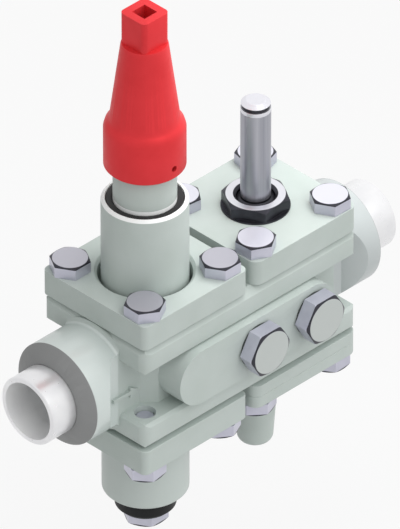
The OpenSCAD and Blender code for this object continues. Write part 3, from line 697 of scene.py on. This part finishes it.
def makeBonnet(v):
    # the thread's depth falls and rises once in each pitch, and its phase turns with the angle:
    # radius = neck - depth * (0.5 - 0.5 cos(2 pi (z / pitch) - angle)), faded in over a pitch
    collar = v["radius"] - v["shoulderWidth"]
    body = softCorners([
        (v["chamber"], v["chamberSeam"], 0), (v["chamber"], v["foot"], 0.4),
        (v["pilot"], v["foot"], 0.3), (v["pilot"], v["flangeLow"], 0),
        (v["flange"], v["flangeLow"], 0.3), (v["flange"], v["flangeTop"], 0.3),
        (v["radius"], v["flangeTop"], 0), (v["radius"], v["top"] - v["shoulderDrop"], 0.8),
        (collar, v["top"], 0.6), (collar, v["groove"], 0),
        (v["neck"], v["groove"], 0), (v["neck"], v["threadFrom"], 0)], steps=3)
    thread = []
    top = v["neckTop"] - v["threadGap"]
    for z in np.linspace(v["threadFrom"], top, v["threadRings"]):
        fade = min(1.0, (z - v["threadFrom"]) / v["threadPitch"], (top - z) / v["threadPitch"])
        wave = 0.5 - 0.5 * np.cos(2 * math.pi * z / v["threadPitch"] - roundAngles)
        thread.append((v["neck"] - v["threadDepth"] * fade * wave, z))
    edge = v["mouthEdge"]
    mouth = [(v["neck"] - 1.0, v["neckTop"]), (v["packingBore"] + edge, v["neckTop"]),
             (v["packingBore"], v["neckTop"] - edge), (v["packingBore"], v["packingFloor"]),
             (v["stemBore"], v["packingFloor"]), (v["stemBore"], v["chamberTop"]),
             (v["chamber"], v["chamberTop"])]
    piece = lathe("regulatorBonnet", body + thread + mouth, (leftX, 0, 0))
    standIn(piece, "regulator_bonnet")


makeBonnet(bonnet)
print("bonnet turned")


# Groove ring: a black ring that lies in the groove round the bonnet's neck, put there as painted
# shade of the groove

dustRing = {"inside": 14.75, "outside": 18.0, "low": 79.1, "high": 81.6,
            "rounding": 0.9, "edge": 0.2}


def makeGrooveShadeRing(v):
    middleR = (v["inside"] + v["outside"]) / 2
    rows = softCorners([
        (middleR, v["low"], 0), (v["outside"], v["low"], v["edge"]),
        (v["outside"], v["high"], v["rounding"]), (v["inside"], v["high"], v["rounding"]),
        (v["inside"], v["low"], v["edge"]), (middleR, v["low"], 0)])
    piece = lathe("dustRing", rows[:-1], (leftX, 0, 0))
    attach(piece, bodyOf["regulator_bonnet"])
    piece.data.materials.append(finishes["seal_rubber"])


makeGrooveShadeRing(dustRing)
print("dust ring laid in")


# Armature tube: drawn tube with its flange under the nut

tube = {"radius": 7.05, "bore": 5.6, "foot": 36.0, "top": 94.5, "flange": 11.6,
        "flangeTop": 38.0, "hub": 8.9, "hubTop": 45.8, "hubEnd": 46.8, "seam": (56.0, 66.0)}


def makeTube(v):
    seamLow, seamHigh = v["seam"]
    rows = softCorners([
        (v["bore"], seamLow, 0), (v["bore"], v["foot"], 0.2), (v["flange"], v["foot"], 0.2),
        (v["flange"], v["flangeTop"], 0.2), (v["hub"], v["flangeTop"], 0),
        (v["hub"], v["hubTop"], 0.3), (v["radius"], v["hubEnd"], 0.3),
        (v["radius"], v["top"], 0.15), (v["bore"], v["top"], 0), (v["bore"], seamHigh, 0)])
    standIn(lathe("armatureTube", rows, (rightX, 0, 0)), "armature_tube")


makeTube(tube)
print("armature tube drawn")


# Flow arrow: a plain raised arrow on the waist beside the inlet boss

arrow = {"tail": 36.8, "tip": 52.6, "z": -4.7, "shaftHalf": 1.0, "headHalf": 2.9,
         "headLength": 5.2, "face": -16.8, "height": 1.6, "sunk": 0.3, "edge": 0.2}


def makeArrow(v):
    neck = v["tip"] - v["headLength"]
    outline = [(v["tail"], -v["shaftHalf"]), (neck, -v["shaftHalf"]), (neck, -v["headHalf"]),
               (v["tip"], 0), (neck, v["headHalf"]), (neck, v["shaftHalf"]),
               (v["tail"], v["shaftHalf"])]
    count = len(outline)
    points = np.array([(x, v["face"] + depth, v["z"] + z)
                       for depth in (v["sunk"], -v["height"]) for x, z in outline]) * mm
    mesh = bpy.data.meshes.new("flowArrow")
    sides = [(i, (i + 1) % count, count + (i + 1) % count, count + i) for i in range(count)]
    mesh.from_pydata(points.tolist(), [], sides + [tuple(range(count, 2 * count)),
                                                   tuple(range(count - 1, -1, -1))])
    piece = bpy.data.objects.new("flowArrow", mesh)
    bpy.context.collection.objects.link(piece)
    cleanMesh(mesh)
    bevel = piece.modifiers.new("edges", "BEVEL")
    bevel.width = v["edge"] * mm
    bevel.segments = 2
    bevel.harden_normals = True
    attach(piece, bodyOf["housing"])
    piece.data.materials.append(finishes["cast_body"])


makeArrow(arrow)
print("flow arrow raised")


# Springs: each one's joint, its travel in metres and whether its fixed end is at the top; each
# spring is a copy of its node with a mesh of its own

springs = {
    "main_spring": {"joint": "piston_lift", "travel": 0.006, "fixedTop": True},
    "armature_spring": {"joint": "armature_lift", "travel": 0.003, "fixedTop": True},
    "check_spring": {"joint": "check_open", "travel": 0.005, "fixedTop": False},
}


def makeSpring(nodeName):
    piece = copyOf(nodeName)
    cleanMesh(piece.data)
    standIn(piece, nodeName)
    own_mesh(piece)


for nodeName, spring in springs.items():
    makeSpring(nodeName)


# Floor

ground = {"half": 30.0, "drop": 0.06, "tone": 0.66, "rough": 0.9, "whiteShare": 0.85}


def makeFloor(v):
    # to the camera, and in mirror images, part of the floor's tone is plain white
    half, tone = v["half"], v["tone"]
    corners = np.array([[-half, -half, 0], [half, -half, 0], [half, half, 0], [-half, half, 0]])
    corners = corners + np.array([midX, 0, cadLow.z - v["drop"]])
    floor = addMesh("floor", corners, np.array([[0, 1, 2, 3]]))
    material, tree, shader, place = startMaterial("paleFloor")
    shader.inputs["Base Color"].default_value = (tone, tone, tone, 1)
    shader.inputs["Roughness"].default_value = v["rough"]
    share = tree.nodes.new("ShaderNodeMath")
    share.operation = "MULTIPLY"
    share.inputs[1].default_value = v["whiteShare"]
    tree.links.new(backdropRays(tree), share.inputs[0])
    white = tree.nodes.new("ShaderNodeEmission")
    white.inputs["Color"].default_value = (1, 1, 1, 1)
    mix = tree.nodes.new("ShaderNodeMixShader")
    tree.links.new(share.outputs[0], mix.inputs[0])
    tree.links.new(shader.outputs[0], mix.inputs[1])
    tree.links.new(white.outputs[0], mix.inputs[2])
    tree.links.new(mix.outputs[0], tree.nodes["Material Output"].inputs["Surface"])
    floor.data.materials.append(material)


makeFloor(ground)
